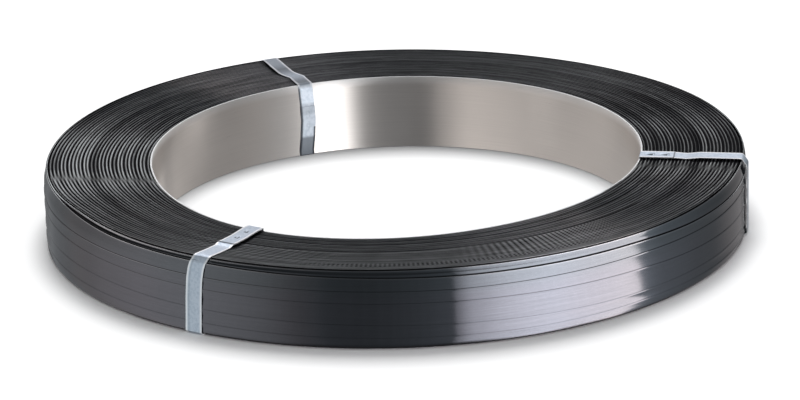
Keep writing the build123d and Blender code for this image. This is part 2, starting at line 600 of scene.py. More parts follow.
@dataclass
class StrapCoil:
    """The coil itself: its end faces are the edges of the turns and its wall is the outermost passes.

    All sizes are in millimetres, and stations are pairs of an angle and the value there.

    Attributes:
        liner_room: How far the first turn stands off the bore's own radius, behind the liner's lip.
        ring_spacing: How far out and up each ring is drawn from the last, before the rings are placed.
        depth_lots: The least and most of a groove's random share of the depth.
        crossing_left: The angle of the crossing at the bore, and how far it moves on the way to the rim.
        relief_fade: Where the relief starts to fade and how far that bulges, where it ends and how it leans.
        quiet_relief: What is left of the relief at the front, inside and outside the quiet border.
        lip_profile: For each ring of the shoulder's lip its place in lip widths, drop, tone, share of strap
            edges and share of painted highlight.
        foot_profile: For each ring of the foot its inset, rise, tone and share of strap edges.
        single_grooves: The radius, depth, first and last angle of grooves that stand alone at the front.
    """

    bore_radius: float = BORE_RADIUS
    radius: float = 290.0
    base: float = 0.44
    top: float = 64.44
    strap_thickness: float = 0.8
    liner_room: float = 0.75
    segments: int = 288
    ring_spacing: Pair = (0.3, 0.05)
    ridges: int = 27
    rows_per_ridge: int = 6
    groove_depth: float = 1.35
    groove_width: float = 0.275
    groove_darkness: float = 1.3
    deepest_groove: float = 1.25
    depth_lots: Pair = (0.72, 1.2)
    width_lots: Pair = (0.8, 1.15)
    wobble: float = 0.12
    crossing_left: Pair = (194.9, -6.1)
    crossing_right: Pair = (344.6, 1.0)
    crossing_spread: float = 3.6
    crossing_fade: float = 0.7
    relief_fade: Window = (220.0, 8.0, 246.0, 10.0)
    quiet_relief: Pair = (0.62, 0.34)
    quiet_border: float = 0.44
    single_groove_width: float = 0.62
    single_groove_ends: Pair = (14.0, 10.0)
    foot_ridges: int = 20
    foot_groove: float = 1.0
    seed: int = 41
    name: str = "wound_strap"

    lip_profile: tuple[tuple[float, ...], ...] = (
        (0.0, 1.2, 0.0, 1.0, 0.0), (0.17, 0.25, 0.8, 1.0, 1.0), (0.64, 0.05, 1.0, 0.7, 1.0),
        (1.20, 0.35, 1.0, 0.2, 0.8),
    )
    foot_profile: tuple[Window, ...] = ((0.6, 1.8, 1.0, 0.0), (1.2, 0.5, 0.8, 0.2), (2.4, 0.0, 1.0, 1.0))
    single_grooves: tuple[Window, ...] = (
        (241.2, 0.95, 218.0, 328.0), (232.0, 0.35, 236.0, 330.0), (222.5, 0.45, 230.0, 334.0),
        (214.0, 0.4, 226.0, 330.0), (262.0, 0.22, 300.0, 340.0),
    )
    rim_stations: tuple[Pair, ...] = (
        (0, 286.0), (90, 286.4), (150, 286.2), (180, 285.6), (197, 284.0), (208, 281.8),
        (222, 284.0), (237, 286.0), (260, 286.5), (315, 286.5), (330, 285.2), (345, 284.6),
    )
    shoulder_stations: tuple[Pair, ...] = (
        (0, 288.2), (90, 288.2), (180, 287.8), (200, 287.4), (208, 288.2), (220, 289.9),
        (240, 290.0), (340, 290.0), (352, 289.4),
    )
    passes: tuple[WallPass, ...] = (
        WallPass(
            (
                (0, 63.2), (90, 63.4), (180, 63.6), (203, 63.7), (211, 62.6), (219, 61.2), (236, 60.2),
                (260, 58.4), (280, 57.2), (310, 57.2), (322, 54.8), (334, 53.6), (345, 53.4), (352, 55.0),
            ),
            darkness=1.0925,
            step=1.0,
            painted_glint=1.0,
            gap_height=1.5,
            hollow=1.0,
            lip_tone=0.85,
            bare=0.5,
        ),
        WallPass(
            (
                (0, 45.5), (100, 46.6), (190, 47.5), (236, 48.0), (280, 46.7), (310, 47.2), (330, 45.2),
                (350, 45.4),
            ),
            darkness=0.62,
            step=0.5,
            painted_glint=0.4,
        ),
        WallPass(
            (
                (0, 28.6), (90, 31.0), (160, 36.0), (191, 37.6), (236, 38.2), (280, 37.0), (294, 36.0),
                (310, 34.9), (322, 32.0), (342, 28.6),
            ),
            darkness=0.42,
            step=0.4,
            painted_glint=0.2,
        ),
        WallPass(
            (
                (0, 14.0), (120, 19.0), (220, 22.5), (250, 21.4), (280, 18.8), (294, 17.2), (310, 16.0),
                (340, 14.2),
            ),
            darkness=0.16,
        ),
        WallPass(
            ((0, 6.0), (140, 8.4), (240, 10.6), (280, 9.2), (294, 8.2), (310, 8.6), (340, 6.4)),
            darkness=0.14,
        ),
    )
    fade_stations: tuple[Pair, ...] = (
        (0, 0.6), (90, 0.5), (185, 0.9), (205, 1.0), (240, 0.8), (255, 0.45), (272, 0.5), (300, 0.9),
        (345, 1.0),
    )
    gap_stations: tuple[Pair, ...] = (
        (0, 0.9), (180, 0.7), (203, 1.0), (222, 0.9), (238, 0.6), (260, 0.45), (312, 0.5), (326, 0.9),
        (345, 1.3),
    )
    hollow_stations: tuple[Pair, ...] = (
        (0, 0.45), (60, 0.3), (150, 0.4), (185, 0.7), (198, 1.0), (216, 1.0), (230, 0.45), (250, 0.0),
        (318, 0.0), (334, 0.35), (350, 0.5),
    )
    lip_drop_stations: tuple[Pair, ...] = (
        (0, 0.4), (180, 0.3), (208, 0.3), (226, 0.9), (242, 1.2), (262, 1.2), (312, 1.2), (328, 1.0),
        (345, 0.6),
    )
    lip_width_stations: tuple[Pair, ...] = (
        (0, 0.7), (180, 0.8), (198, 1.1), (222, 0.9), (236, 0.7), (262, 0.3), (315, 0.3), (330, 0.7),
    )
    # strength of the painted highlight round the coil, strong at the left and none on the brightly lit side
    painted_glint_stations: tuple[Pair, ...] = (
        (0, 0.25), (150, 0.2), (186, 0.12), (197, 0.3), (206, 0.85), (222, 0.8), (236, 0.4), (250, 0.2),
        (262, 0.06), (322, 0.0), (336, 0.25), (352, 0.3),
    )
    ridge_tone_stations: tuple[Pair, ...] = (
        (0, 0.87), (20, 0.88), (40, 1.0), (140, 1.0), (160, 0.93), (188, 0.93), (206, 1.0), (340, 1.0),
        (350, 0.88),
    )
    upper_tone_stations: tuple[Pair, ...] = ((188, 1.0), (198, 0.78), (216, 0.74), (228, 0.86), (240, 1.0))
    groove_share_stations: tuple[Pair, ...] = (
        (0, 1.5), (35, 1.1), (50, 0.85), (70, 0.85), (90, 0.95), (150, 1.1), (190, 1.1), (225, 1.0),
        (312, 1.0), (330, 1.05), (342, 1.45),
    )
    fall_stations: tuple[Pair, ...] = (
        (0, 0.0), (25, 0.2), (45, 1.6), (62, 1.9), (80, 1.2), (98, 0.4), (115, 0.0),
    )

    def __post_init__(self) -> None:
        """Lays out the angles and the random lots of each ridge."""
        self.degrees = np.arange(self.segments) * FULL_TURN / self.segments
        self.lots = np.random.default_rng(self.seed)
        self.rows: list[tuple[np.ndarray, np.ndarray, np.ndarray, float, np.ndarray]] = []
        self.painted_glint_share = self.all_round(self.painted_glint_stations)

    def all_round(self, stations: Sequence[Pair]) -> np.ndarray:
        """A size at each angle of the coil, read between its stations."""
        return around(self.degrees, stations)

    def row(self, radius: Ring, height: Ring, tone: Ring, end_face: float, painted_glint: float = 0.0) -> None:
        """Adds one ring of points to the skin.

        Args:
            radius: Its distance from the axis in millimetres, one for all or one for each angle.
            height: Its height, likewise.
            tone: Its tone, likewise, 0 where the painted shade is full, as in a gap, and 1 on bare strap.
            end_face: 1 where the skin is made of strap edges, 0 on the strap's flat side.
            painted_glint: How much of the coil's painted highlight a lip takes, 1 on a bare lip.
        """
        ring = (np.broadcast_to(value, self.segments) for value in (radius, height, tone))
        self.rows.append((*ring, end_face, painted_glint * self.painted_glint_share))

    def crossing(self, share: float) -> np.ndarray:
        """How far the winding has crossed over to its other lay, 0 or 1 but at a crossing.

        Args:
            share: The place on the way from the bore to the rim.

        Returns:
            The crossing at each angle.
        """
        left = self.crossing_left[0] + self.crossing_left[1] * share
        right = self.crossing_right[0] + self.crossing_right[1] * share
        spread = self.crossing_spread
        return hump(self.degrees, left - spread, left + spread, right - spread, right + spread)

    def relief(self, share: float) -> np.ndarray:
        """How strongly the ridges stand out round the coil, least at the front.

        Args:
            share: The place on the way from the bore to the rim.

        Returns:
            The strength at each angle.
        """
        start, start_bulge, end, end_lean = self.relief_fade
        fade_start, fade_end = start - start_bulge * math.sin(math.pi * share), end - end_lean * share
        quiet = self.quiet_relief[0 if share < self.quiet_border else 1]
        stations = (
            (0, 1.0), (40, 1.0), (66, 0.85), (82, 0.7), (104, 0.7), (122, 0.9), (140, 1.0),
            (fade_start, 1.0), (fade_end, quiet), (302, quiet), (318, 0.85), (332, 1.0),
        )
        return around(self.degrees, stations, 3.0)

    def top_rows(self) -> None:
        """The upper end face, from the bore out to the rim."""
        count = self.ridges * self.rows_per_ridge
        depths = self.lots.uniform(*self.depth_lots, (2, self.ridges + 1))
        widths = self.lots.uniform(*self.width_lots, (2, self.ridges + 1))
        rim, fall = self.all_round(self.rim_stations), self.all_round(self.fall_stations)
        groove_share = self.all_round(self.groove_share_stations)
        ridge_tone = self.all_round(self.ridge_tone_stations)
        inner = self.bore_radius + self.liner_room - bore_drift(self.degrees)
        soft_start, soft_end = self.single_groove_ends
        for number in range(count + 1):
            share = number / count
            at = share * self.ridges
            crossed = self.crossing(share)
            groove = np.zeros(self.segments)
            for lay, weight in ((0, 1.0 - crossed), (1, crossed)):
                nearest = int(round(at - 0.5 * lay))
                apart = abs(at - 0.5 * lay - nearest)
                width = self.groove_width * widths[lay, nearest] * groove_share
                groove += weight * depths[lay, nearest] * np.exp(-((apart / width) ** 2))
            groove = groove * self.relief(share) * (1.0 - self.crossing_fade * crossed * (1.0 - crossed))
            radius = inner + share * (rim - inner)
            way_round = np.radians(self.degrees) * 5 + at
            radius = radius + self.wobble * np.sin(way_round) * math.sin(math.pi * share)
            for place, depth, start, end in self.single_grooves:
                mask = hump(self.degrees, start, start + soft_start, end - soft_end, end)
                groove += depth * mask * np.exp(-(((radius - place) / self.single_groove_width) ** 2))
            height = self.top - self.groove_depth * np.clip(groove, 0.0, self.deepest_groove)
            height = height - fall * share - end_face_drop(self.degrees, share)
            # painted shade: the tone darkens in the grooves between the strap edges
            tone = ridge_tone - self.groove_darkness * np.clip(groove, 0.0, 1.0)
            # painted highlight along the last crests at the rim
            painted_glint = 1.0 if number == count else 0.5 * (number == count - 1)
            self.row(radius, height, np.clip(tone, 0.0, 1.0), 1.0, painted_glint)

    def wall_rows(self) -> None:
        """The rim's sloping band and the passes of strap down the wall."""
        rim, shoulder = self.all_round(self.rim_stations), self.all_round(self.shoulder_stations)
        hollow, lip_width = self.all_round(self.hollow_stations), self.all_round(self.lip_width_stations)
        edges = [self.all_round(strap.edge) for strap in self.passes]
        fall = self.all_round(self.fall_stations)
        edges[0] = edges[0] - fall
        rim_top = self.top - fall
        top = rim_top - self.all_round(self.lip_drop_stations)
        lip = rim + self.all_round(self.gap_stations)
        # painted shade: the two rings at the rim are a dark gap
        self.row(rim + 0.04, rim_top - 0.15, 0.2, 1.0)
        self.row(rim + 0.10, np.minimum(top - 1.1, rim_top - 1.5), 0.0, 1.0)
        for place, drop, tone, end_face, painted_glint in self.lip_profile:
            self.row(lip + place * lip_width, top - drop, tone, end_face, painted_glint)
        lip_end = lip + self.lip_profile[-1][0] * lip_width
        inward, outward = lip_end + 0.15, np.minimum(shoulder, lip + 5.2) - 0.95
        self.row(inward, top - 0.9 - 0.9 * hollow, self.gap_tone(hollow), 0.0)
        middle = 0.5 * (edges[0] + 0.9) + 0.5 * (top - 0.6) - 1.3 * hollow
        self.row(0.5 * (inward + outward), middle, self.gap_tone(hollow), 0.0)
        for number, edge in enumerate(edges):
            below = edges[number + 1] if number + 1 < len(edges) else self.base
            self.pass_rows(number, self.radius if number else shoulder, edge, below, hollow)
        for inset, rise, tone, end_face in self.foot_profile:
            self.row(self.radius - inset, self.base + rise, tone, end_face)

    @staticmethod
    def gap_tone(hollow: np.ndarray) -> np.ndarray:
        """The tone of the gap under the rim: painted shade, darker where it is deeper."""
        return np.clip(1.0 - 0.62 * hollow, 0.38, 1.0)

    def pass_rows(self, number: int, lip: Ring, edge: np.ndarray, below: Ring, hollow: np.ndarray) -> None:
        """One pass of strap, from the gap over its edge to the middle of its flat side.

        Args:
            number: Its number, counted down from the rim.
            lip: How far from the axis its edge stands.
            edge: The height of its edge.
            below: The height where it ends, at the edge of the next pass or at the coil's foot.
            hollow: How deep the coil is hollow under the rim, 0 to 1.
        """
        strap = self.passes[number]
        step = self.strap_thickness * strap.step
        sunk = hollow * strap.hollow
        shade = 1.0 - np.clip(strap.darkness * self.all_round(self.fade_stations), 0.0, 1.0)
        skin = 1.0 if number else self.all_round(self.upper_tone_stations)
        turn = np.radians(self.degrees)
        wave = 0.14 * np.sin(turn * (3 + number) + 1.7 * number)
        wave = wave + 0.13 * np.sin(turn * (11 + 2 * number) + 2.3 * number)
        # painted shade in the gap over the pass's edge
        self.row(lip - 0.86 * step, edge + strap.gap_height - 0.8 * sunk, self.gap_tone(sunk), 0.0)
        self.row(lip - 0.98 * step, edge + 0.4 * strap.gap_height - 0.5 * sunk, shade, 0.0)
        self.row(lip - 1.0 * step, edge + 0.06, shade, 0.0)
        self.row(lip - 0.30 * step, edge + 0.04, strap.lip_tone, strap.bare, strap.painted_glint)
        self.row(lip - 0.10, edge - 0.05, 1.0, strap.bare, strap.painted_glint)
        self.row(lip, edge - 0.32, 1.0, 0.3 * strap.bare)
        self.row(lip - 0.05, edge - 1.4, skin, 0.0)
        flat_side = self.radius - 0.5 * self.strap_thickness - 0.14 + wave
        self.row(flat_side, 0.5 * (edge + below), skin, 0.0)

    def foot_rows(self) -> None:
        """The lower end face and the bore, back to where the skin began."""
        count = self.foot_ridges * 3
        for number in range(1, count):
            share = number / count
            groove = self.foot_groove if number % 3 == 0 else 0.0
            radius = self.radius - 2.8 - share * (self.radius - 3.2 - self.bore_radius)
            # painted shade in the grooves of the lower end face
            self.row(radius, self.base + groove, 1.0 - 0.9 * groove, 1.0)
        first_radius, first_height = self.rows[0][:2]
        self.row(self.bore_radius, self.base + 0.6, 0.5, 1.0)
        self.row(first_radius - 0.15, first_height - 0.9, 0.5, 1.0)

    def build(self) -> bpy.types.Object:
        """Spins the skin, then lets every ring follow the winding.

        Returns:
            The finished coil.
        """
        self.top_rows()
        self.wall_rows()
        self.foot_rows()
        out, up = self.ring_spacing
        start = self.bore_radius + 1
        rest = [Vector(((start + out * n) * MM, 0, up * n * MM)) for n in range(len(self.rows))]
        coil = Bench.start_point(self.name, rest[0])
        Bench.draw_to(rest[1:], rest[0])
        Bench.turn_round(self.segments)
        bpy.ops.object.mode_set(mode="OBJECT")
        places = Bench.places(coil)
        ring = np.rint(places[:, 2] / (up * MM)).astype(int)
        heading = np.degrees(np.arctan2(places[:, 1], places[:, 0]))
        turn = np.rint(heading * self.segments / FULL_TURN).astype(int) % self.segments
        radii, heights, tones, end_face, painted_glint = (np.stack(values) for values in zip(*self.rows))
        angle = np.radians(self.degrees[turn])
        reach = radii[ring, turn] * MM
        place = (reach * np.cos(angle), reach * np.sin(angle), heights[ring, turn] * MM)
        Bench.put(coil, np.stack(place, 1))
        Bench.note(coil, "tone", tones[ring, turn])
        Bench.note(coil, "end_face", end_face[ring])
        Bench.note(coil, "painted_glint", painted_glint[ring, turn])
        self.close_bore(coil, ring)
        Bench.finish(coil, 62.0)
        coil.data.materials.append(BluedStrapFinish().make())
        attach(coil, "root")
        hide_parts("strap_coil")
        return coil

    def close_bore(self, coil: bpy.types.Object, ring: np.ndarray) -> None:
        """Joins the last ring of the skin to the first.

        Args:
            coil: The spun skin, still open in the bore.
            ring: For each point the number of its ring.
        """
        Bench.clear()
        bpy.context.view_layer.objects.active = coil
        coil.select_set(True)
        ends = (ring == 0) | (ring == len(self.rows) - 1)
        edge_points = np.empty(len(coil.data.edges) * 2, dtype=np.int32)
        coil.data.edges.foreach_get("vertices", edge_points)
        coil.data.vertices.foreach_set("select", ends)
        coil.data.edges.foreach_set("select", ends[edge_points.reshape(-1, 2)].all(axis=1))
        coil.data.polygons.foreach_set("select", np.zeros(len(coil.data.polygons), bool))
        bpy.ops.object.mode_set(mode="EDIT")
        bpy.ops.mesh.select_mode(type="EDGE")
        bpy.ops.mesh.bridge_edge_loops()
        Bench.set_normals()


@dataclass
class InnerLiner:
    """The bright sheet that lines the bore, with its lapped seam."""

    inner_radius: float = 203.0
    thickness: float = 0.7
    lip_width: float = 1.35
    softness: float = 0.18
    base: float = 0.7
    top: float = 64.55
    segments: int = 360
    seam_angle: float = -35.0
    lap_length: float = 25.0
    joggle_length: float = 4.0
    joggle: float = 0.42
    ripple: float = 0.05
    name: str = "bore_liner"

    def section(self) -> list[Pair]:
        """The sheet's closed section as radius and height, from the foot up its inner face and back."""
        inner, soft, lip = self.inner_radius, self.softness, self.lip_width
        return [
            (inner, self.base),
            (inner, self.base + 8),
            *((inner, self.top * share) for share in (0.3, 0.5, 0.7, 0.88)),
            (inner, self.top - 2.5 * soft),
            (inner + 0.3 * soft, self.top - soft),
            (inner + soft, self.top),
            (inner + 0.5 * lip, self.top + 0.06),
            (inner + lip - soft, self.top),
            (inner + lip, self.top - soft),
            (inner + self.thickness, self.top - 1.0),
            (inner + self.thickness, self.base),
        ]

    def build(self) -> bpy.types.Object:
        """Spins the sheet's section and steps it at the lap.

        Returns:
            The finished liner.
        """
        points = [Vector((r * MM, 0, z * MM)) for r, z in self.section()]
        liner = Bench.start_point(self.name, points[0])
        Bench.draw_to(points[1:] + points[:1], points[0])
        Bench.turn_round(self.segments)
        Bench.set_normals()
        places = Bench.places(liner)
        degrees = np.degrees(np.arctan2(places[:, 1], places[:, 0]))
        reach = np.hypot(places[:, 0], places[:, 1])
        along = np.radians(degrees - self.seam_angle) * self.inner_radius
        lapped = smooth_step(along, -self.joggle_length, 0.0) * (along < self.lap_length)
        height = places[:, 2] / (self.top * MM)
        ripple = self.ripple * MM * np.sin(np.radians(degrees) * 7) * np.sin(places[:, 2] * 40)
        inward = bore_drift(degrees) * MM + self.joggle * MM * lapped
        share = (reach + ripple - inward) / reach
        moved = places * np.stack([share, share, np.ones(len(share))], 1)
        moved[:, 2] -= bore_sag(degrees) * MM * height
        Bench.put(liner, moved)
        # the rim share carries the painted highlight along the liner's top
        Bench.note(liner, "rim", smooth_step(height, 0.985, 0.995))
        Bench.finish(liner, 40.0)
        liner.data.materials.append(LinerFinish().make())
        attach(liner, "root")
        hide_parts("inner_liner")
        return liner


class LapPlace(Enum):
    """Where a tie's two ends lap."""

    END_FACE = "end"
    BORE = "bore"


@dataclass
class WrapTie:
    """One galvanised tie that goes round the coil's section and laps on itself.

    All sizes are in millimetres.

    Attributes:
        node: The CAD node that it replaces.
        angle: Where it stands round the coil, in degrees.
        rim_lift: How far it stands off the end face at the rim, in shares of the slack.
        bends: Its bends over the end face, as a share of the way in from the rim and a rise.
        bore_lift: How far it stands off the end face at the bore, in shares of the slack.
        face_sway: How far it is pushed aside over the end face, by radius.
        wall_sway: The same on the wall, by height.
        bore_sway: The same in the bore, by height.
        bore_shade: How much painted shade it takes in the bore, by height.
        face_shade: How much painted shade it takes over the end face, by radius.
        strip: The distances from its middle line where a strip of painted shade on its leg starts, is full,
            fades and ends.
        marking: How deep its keys are punched, as a share.
        wall_blend: The radii between which the end face's sway gives way to the wall's.
        foot_blend: The heights between which its sway grows from nothing at the foot.
        drop_blend: The heights between which it starts to follow the end face as that sinks.
        rolled: How far from its side the painted highlight of the edge starts and where it is full.
    """

    name: str
    node: str
    angle: float
    lap: LapPlace
    rim_lift: float
    bends: tuple[Pair, ...]
    bore_lift: float
    face_sway: tuple[Pair, ...] = ((203, 0.0), (286, 0.0))
    wall_sway: tuple[Pair, ...] = ((0, 0.0), (64, 0.0))
    bore_sway: tuple[Pair, ...] = ((0, 0.0), (64, 0.0))
    bore_shade: tuple[Pair, ...] = ((0, 0.0), (64, 0.0))
    face_shade: tuple[Pair, ...] = ((203, 0.0), (286, 0.0))
    wall_shade: float = 0.06
    strip_shade: float = 0.24
    strip: Window = (3.4, 4.4, 4.8, 5.6)
    wall_blend: Pair = (286.0, 290.0)
    foot_blend: Pair = (2.0, 6.0)
    drop_blend: Pair = (4.0, 60.0)
    marking: float = 1.0
    width: float = 15.0
    rolled: Pair = (2.1, 1.2)
    thickness: float = 0.4
    bore_face: float = 203.02
    rim_face: float = 286.64
    wall_face: float = 290.04
    base: float = 0.4
    end_face: float = 64.48
    rim_drop: float = 5.3
    foot_rise: float = 1.3
    slack: float = 1.7
    face_bend: float = 6.0
    rim_bend: float = 3.0
    foot_bend: float = 0.9
    bore_bend: float = 0.5
    columns: int = 24
    run_step: float = 4.0
    fine_step: float = 0.6
    bend_step: float = 12.0
    key_centre: float = 14.0
    key_spacing: float = 12.0
    key_size: Pair = (7.0, 3.4)
    key_softness: float = 0.9
    key_depth: float = 0.36
    tongue_size: Pair = (4.6, 1.6)
    tongue_softness: float = 0.8
    tongue_height: float = 0.62
    lap_start: float = 2.0
    lap_length: float = 26.6
    bore_drop: float = 21.0

    def __post_init__(self) -> None:
        """Works out the places of the lap, in millimetres."""
        self.over = self.thickness * 1.06
        self.level = self.end_face + self.bore_lift * self.slack
        self.lap_edge = self.bore_face + self.lap_start + self.lap_length
        self.bore_end = self.end_face - self.bore_drop

    def corners(self) -> list[tuple[Pair, float]]:
        """The places where the tie turns, from the hidden end to the end on top.

        Returns:
            For each place its radius and height, and the radius of its bend.
        """
        bore, rim, wall, level, over = self.bore_face, self.rim_face, self.wall_face, self.level, self.over
        reach = rim - (self.lap_edge if self.lap is LapPlace.END_FACE else bore)
        route = [
            ((rim - share * reach, self.end_face + rise * self.slack), self.face_bend)
            for share, rise in reversed(self.bends)
        ]
        route += [
            ((rim, self.end_face + self.rim_lift * self.slack), self.rim_bend),
            ((wall, self.end_face - self.rim_drop), self.rim_bend),
            ((wall, self.base + self.foot_rise), self.foot_bend),
            ((rim + self.foot_rise + 0.4, self.base), self.foot_bend),
            ((bore, self.base), self.bore_bend),
        ]
        if self.lap is LapPlace.END_FACE:
            start = [((bore + self.lap_start, level), 0.0), ((self.lap_edge + 2, level), self.face_bend)]
            end = [((bore, level + over), 0.7), ((self.lap_edge, level + over), 0.0)]
        else:
            start = [((bore, self.bore_end - self.lap_length), 0.0), ((bore, level), self.bore_bend)]
            end = [((bore - over, self.base + 8), 4.0), ((bore - over, self.bore_end + 1.0), 0.0)]
        return start + route + end

    def build(self) -> bpy.types.Object:
        """Draws the tie along its route, thickens it and paints highlights along its edges.

        Returns:
            The finished tie.
        """
        corners = self.corners()
        points = [Vector((r * MM, 0, z * MM)) for (r, z), _ in corners]
        tie = Bench.start_edge(self.name, points[0], self.width * MM, self.columns - 1)
        heading = (points[1] - points[0]).normalized()
        last = points[0]
        for corner, after, (_, bend) in zip(points[1:], points[2:], corners[1:]):
            ahead = (after - corner).normalized()
            angle = heading.angle(ahead)
            reach = bend * MM * math.tan(angle / 2)
            self.extend(heading * ((corner - last).length - reach), self.run_step)
            side = (ahead - heading * ahead.dot(heading)).normalized()
            centre = corner - heading * reach + side * bend * MM
            way_round = math.copysign(angle, -heading.cross(ahead).y)
            steps = max(2, round(math.degrees(angle) / self.bend_step))
            bpy.ops.mesh.spin(steps=steps, angle=way_round, center=centre, axis=(0, 1, 0))
            last, heading = corner + ahead * reach, ahead
        self.extend(points[-1] - last, self.fine_step)
        bpy.ops.mesh.select_all(action="SELECT")
        bpy.ops.mesh.remove_doubles(threshold=WELD)
        Bench.set_normals()
        self.face_outwards(tie)
        self.punch_and_settle(tie)
        tie.rotation_euler.z = math.radians(self.angle)
        Bench.finish(tie, 40.0, solidify={"thickness": self.thickness * MM, "offset": 1.0})
        tie.data.materials.append(TieFinish().make())
        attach(tie, "root")
        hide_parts(self.node)
        return tie

    def punch_and_settle(self, tie: bpy.types.Object) -> None:
        """Punches the lap's keys, notes the tie's painted highlights, shade and shadows and lets it follow
        the coil as it was tightened.

        Args:
            tie: The flat tie on its route, before it has its thickness.
        """
        places = Bench.places(tie) / MM
        radius, across, height = places.T.copy()
        in_bore = (radius < self.bore_face + 0.2) & (height < self.end_face - 1.5)
        roll_start, roll_end = (self.width / 2 - inset for inset in self.rolled)
        # painted highlight along both edges of the tie
        edge = smooth_step(np.abs(across), roll_start, roll_end)
        if self.lap is LapPlace.END_FACE:
            on_top = (np.abs(height - (self.level + self.over)) < 0.05) & (radius < self.lap_edge + 1)
            along, way, axis = radius - self.bore_face - self.key_centre, 1.0, 2
            lapped = on_top
            # painted shadow along the lap's edge
            painted_shadow = 0.7 * on_top * smooth_step(radius, self.lap_edge - 1.0, self.lap_edge - 0.6)
        else:
            on_top = (np.abs(radius - self.bore_face + self.over) < 0.05) & (height < self.bore_end + 1.1)
            along, way, axis = height - (self.bore_end - self.lap_length / 2 + 1.3), -1.0, 0
            lapped = in_bore & (np.abs(along) < self.lap_length / 2)
            # painted shadow along the edges of the leg in the bore
            painted_shadow = 0.85 * in_bore * edge * np.maximum(across > 0, height < self.bore_end - 18.0)
            edge = edge * (1.0 - in_bore) * 0.5
        for centre in (-self.key_spacing / 2, self.key_spacing / 2):
            key = self.patch(along - centre, across, self.key_size, self.key_softness)
            tongue = self.patch(along - centre, across, self.tongue_size, self.tongue_softness)
            punched = self.tongue_height * tongue - self.key_depth * key
            places[:, axis] += way * on_top * self.marking * punched
            shadow = self.marking * key * (1.0 - tongue) * smooth_step(along - centre, -2.5, 1.5)
            painted_shadow = np.maximum(painted_shadow, on_top * shadow)
        # painted shade: a strip down the leg, and the tie's face darkened by radius
        strip = self.wall_shade + self.strip_shade * hump(-across, *self.strip)
        face = np.where(radius > self.rim_face + 1.0, strip, np.interp(radius, *zip(*self.face_shade)))
        Bench.note(tie, "rolled_edge_glint", edge)
        Bench.note(tie, "lapped", lapped.astype(float))
        Bench.note(tie, "painted_shadow", painted_shadow)
        # painted shade: in the bore by height, elsewhere over the end face and wall
        Bench.note(tie, "painted_tie_shade", np.where(in_bore, np.interp(height, *zip(*self.bore_shade)), face))
        on_wall = smooth_step(radius, *self.wall_blend)
        bore_sway, wall_sway = (np.interp(height, *zip(*s)) for s in (self.bore_sway, self.wall_sway))
        sway = np.where(in_bore, bore_sway, np.interp(radius, *zip(*self.face_sway)))
        places[:, 1] += (1.0 - on_wall) * sway * smooth_step(height, *self.foot_blend) + on_wall * wall_sway
        degrees = self.angle + np.degrees(np.arctan2(places[:, 1], radius))
        way_out = (np.hypot(radius, places[:, 1]) - BORE_RADIUS) / (RIM_RADIUS - BORE_RADIUS)
        drop = end_face_drop(degrees, np.clip(way_out, 0.0, 1.0))
        places[:, 2] -= drop * smooth_step(height, *self.drop_blend)
        places[:, 0] -= bore_drift(degrees) * (radius < self.bore_face + 1.0)
        Bench.put(tie, places * MM)

    @staticmethod
    def patch(along: np.ndarray, across: np.ndarray, size: Pair, soft: float) -> np.ndarray:
        """1 inside an oblong of this size, 0 outside it, with a soft border."""
        inside = np.minimum(size[0] / 2 - np.abs(along), size[1] / 2 - np.abs(across))
        return smooth_step(inside, -soft / 2, soft / 2)

    @staticmethod
    def extend(way: Vector, longest: float) -> None:
        """Draws the selected end of the tie on by a straight run.

        Args:
            way: The run.
            longest: About how long each of its pieces is, in millimetres.
        """
        pieces = max(1, round(way.length / (longest * MM)))
        for _ in range(pieces):
            bpy.ops.mesh.extrude_region_move(TRANSFORM_OT_translate={"value": way / pieces})

    def face_outwards(self, tie: bpy.types.Object) -> None:
        """Turns the tie's skin so that it faces away from the middle of the coil's section."""
        out, up = (self.bore_face + self.wall_face) / 2, (self.base + self.end_face) / 2
        middle = Vector((out * MM, 0, up * MM))
        lean = sum((p.center - middle).normalized().dot(p.normal) * p.area for p in tie.data.polygons)
        if lean < 0:
            tie.data.flip_normals()


